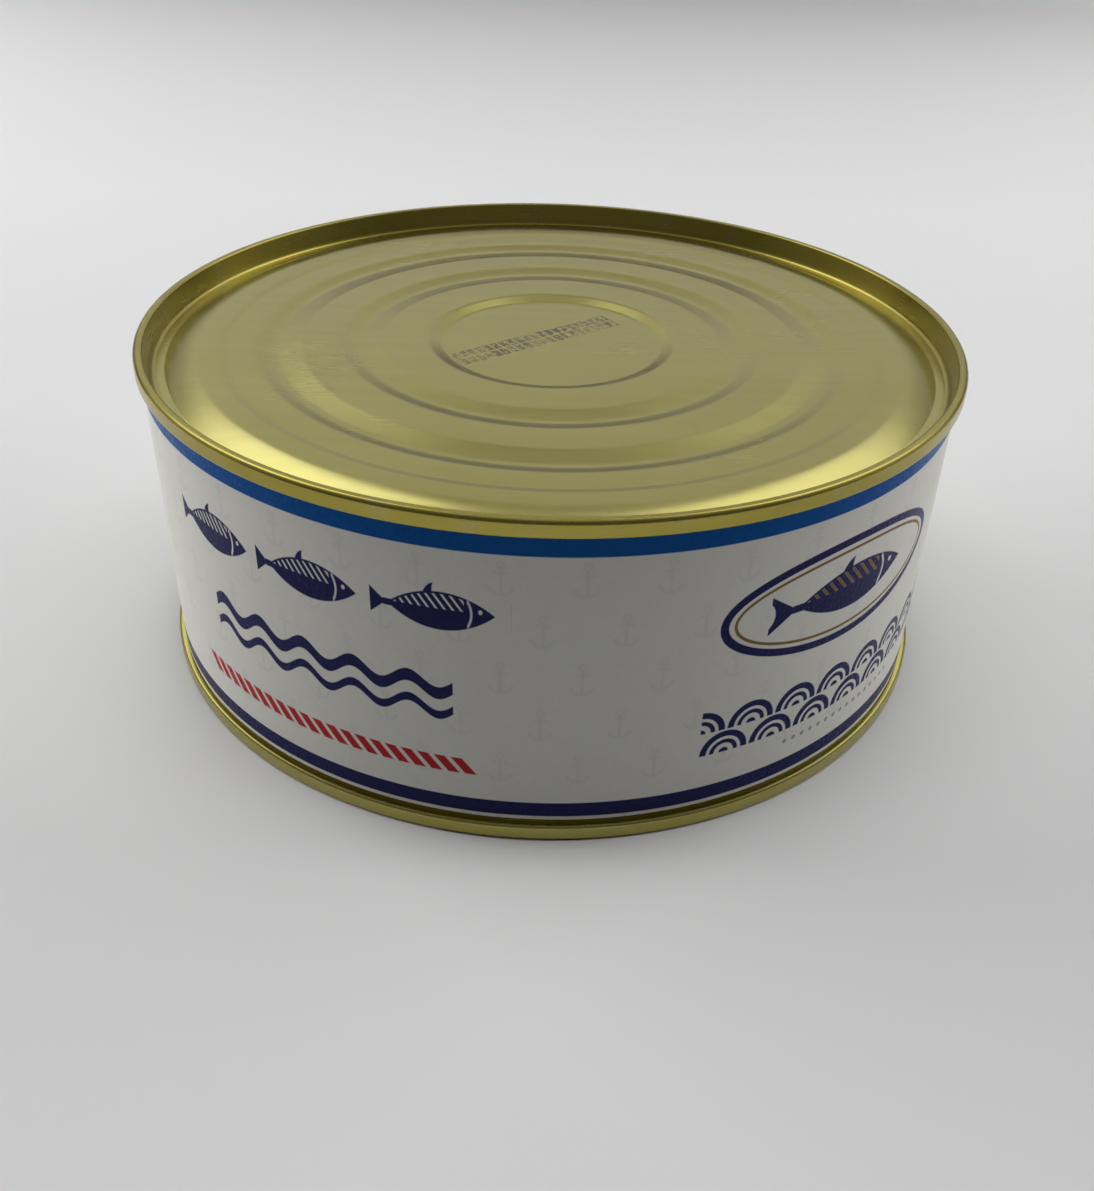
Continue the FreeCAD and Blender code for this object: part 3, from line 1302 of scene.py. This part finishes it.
@dataclass
class Studio:
    """Pale sweep and soft light.

    Attributes:
        far_painted_shade: Painted shade: colour of the sweep behind the can, low down where the
            floor curves up.
        foot_painted_shade: Painted shade: its colour where the floor turns up, a dark band at the
            foot of the wall.
        air: The world's strength where it lights a matt surface.
        backdrop: Its strength where it is seen.
    """

    floor: Colour = (0.80, 0.80, 0.80)
    # Painted shade for the sweep behind the can.
    far_painted_shade: Colour = (0.50, 0.50, 0.50)
    # Painted shade for the foot of the wall.
    foot_painted_shade: Colour = (0.22, 0.22, 0.22)
    air: float = 0.02
    backdrop: float = 0.65
    width: float = 4.0
    near: float = -1.6
    far: float = 1.45
    wall: float = 1.8
    curve: float = 0.55
    lamps: tuple[Softbox, ...] = (
        Softbox("ceiling", (0.0, 0.5, 1.5), (0, 0.5, 0), (3.0, 0.9), 1.9, Shows.LIGHT),
        Softbox("zenith", (0.0, -0.08, 1.6), (0, -0.08, 0), (1.7, 0.5), 9.8, Shows.LIGHT),
        Softbox("backdrop_light", (0.0, 0.1, 1.7), (0, 1.45, 1.4), (1.8, 0.5), 4.2, Shows.LIGHT),
        Softbox("left_card", (-0.66, 0.74, 1.05), (0, 0.0, 0), (0.8, 0.7), 3.5, Shows.MIRRORED),
        Softbox("right_card", (0.66, 0.74, 1.05), (0, 0.0, 0), (0.8, 0.7), 2.8, Shows.MIRRORED),
        Softbox("left_panel", (-1.25, 0.5, 0.35), (0, 0.0, 0.05), (1.1, 0.6), 19.0, Shows.LIGHT),
        Softbox("right_panel", (1.25, 0.5, 0.35), (0, 0.0, 0.05), (1.1, 0.6), 14.4, Shows.LIGHT),
    )

    def build(self) -> None:
        """Set up the sweep, the lamps and the view settings."""
        self._sweep()
        for lamp in self.lamps:
            lamp.hang()
        scene = bpy.context.scene
        if scene.world is None:
            scene.world = bpy.data.worlds.new("studio")
        scene.world.use_nodes = True
        graph = Graph(scene.world.node_tree)
        rays = graph.node("ShaderNodeLightPath").outputs
        kinds = ("Is Camera Ray", "Is Glossy Ray", "Is Transmission Ray")
        camera, glossy, transmission = (Reading(graph, rays[kind]) for kind in kinds)
        facing = graph.axes(graph.node("ShaderNodeTexCoord").outputs["Generated"])[1]
        mirrored = graph.least(graph.most(0.30 + facing * 0.45, 0.12), self.backdrop)
        plain = graph.most(camera, transmission)
        strength = graph.most(plain * self.backdrop, glossy * mirrored, self.air)
        inputs = {"Color": (1.0, 1.0, 1.0, 1), "Strength": strength}
        air = graph.node("ShaderNodeBackground", None, inputs)
        graph.node("ShaderNodeOutputWorld", None, {"Surface": air.outputs[0]})
        scene.view_settings.view_transform = "Standard"

    def _sweep(self) -> None:
        """Make the floor that curves up into a wall."""
        bench = Bench("studio_sweep")
        length = self.far - self.near
        bpy.ops.mesh.primitive_plane_add(size=1, location=(0, (self.far + self.near) / 2, 0))
        bench.piece.scale = (self.width, length, 1)
        bench.open()
        back = self.far - 0.01
        bench.pick("edges", lambda edge: all(v.co.y > back for v in edge.verts))
        bpy.ops.mesh.extrude_region_move(TRANSFORM_OT_translate={"value": (0, 0, self.wall)})
        bench.pick("edges", lambda edge: all(v.co.y > back and v.co.z < 0.01 for v in edge.verts))
        bpy.ops.mesh.bevel(offset=self.curve, segments=24, profile=0.5)
        bpy.ops.mesh.select_all(action="SELECT")
        bpy.ops.mesh.normals_make_consistent(inside=False)
        sweep = bench.close()
        bpy.ops.object.shade_smooth()
        material, graph = new_material("studio_sweep")
        cloud = graph.noise(graph.place(), 3.0, 2.0)
        shade = tuple(channel * 0.97 for channel in self.floor)
        colour = graph.blend(cloud, (*self.floor, 1), (*shade, 1))
        _, depth, height = graph.axes(graph.place())
        # Painted shade: a dark band where the floor turns up into the wall.
        foot = graph.math("MULTIPLY", depth - 0.98, 6.0, clamp=True)
        foot = foot * graph.math("MULTIPLY_ADD", height, -5.0, 2.2, clamp=True)
        # Painted shade: the sweep turns darker towards the back, low down on the curve.
        far = graph.math("MULTIPLY", depth - 0.3, 1.6, clamp=True)
        far = far * graph.math("MULTIPLY_ADD", height, -2.0, 1.35, clamp=True)
        colour = graph.blend(far, colour, (*self.far_painted_shade, 1))
        colour = graph.blend(foot, colour, (*self.foot_painted_shade, 1))
        graph.surface({"Base Color": colour, "Roughness": 0.75, "Specular IOR Level": 0.25})
        sweep.data.materials.append(material)


@dataclass
class Viewpoint:
    """The camera."""

    place: tuple[float, float, float] = (0.0, -0.225197, 0.148561)
    aim: tuple[float, float, float] = (0.000691, 0.0, -0.002487)
    roll: float = 0.0311
    lens: float = 36.37

    def build(self) -> None:
        """Add the camera and make it the scene's own."""
        bpy.ops.object.camera_add(location=self.place)
        camera = bpy.context.object
        camera.name = "camera"
        sight = Vector(self.aim) - Vector(self.place)
        turn = sight.to_track_quat("-Z", "Y")
        camera.rotation_mode = "QUATERNION"
        camera.rotation_quaternion = turn @ Quaternion((0, 0, 1), self.roll)
        camera.data.sensor_width = 36.0
        camera.data.lens = self.lens
        camera.data.clip_start = 0.01
        bpy.context.scene.camera = camera


def main() -> None:
    """Build the can, its studio and the camera, in order."""
    logging.basicConfig(level=logging.INFO, format="%(name)s: %(message)s")
    can_height = cad_box[1][2] / MM
    Viewpoint().build()
    Studio().build()
    # rolled_from=10 turns the grain round the whole wall and lays the painted shade tint over all
    # of it.
    SideWall("gold_tinplate_wall", GoldLacquer(rolled_from=10.0, weld=True)).build()
    PressedEnd(EndSide.TOP, "gold_tinplate_top", GoldLacquer(code=InkCode()), can_height).build()
    # The bottom end keeps only a faint painted shade tint on its seam.
    pale_seam = GoldLacquer(painted_shade_tint=(1.0, 0.98, 0.85))
    PressedEnd(EndSide.BOTTOM, "gold_tinplate_bottom", pale_seam, can_height).build()
    PaperLabel("printed_paper", PrintedPaper()).build()


if __name__ == "__main__":
    main()
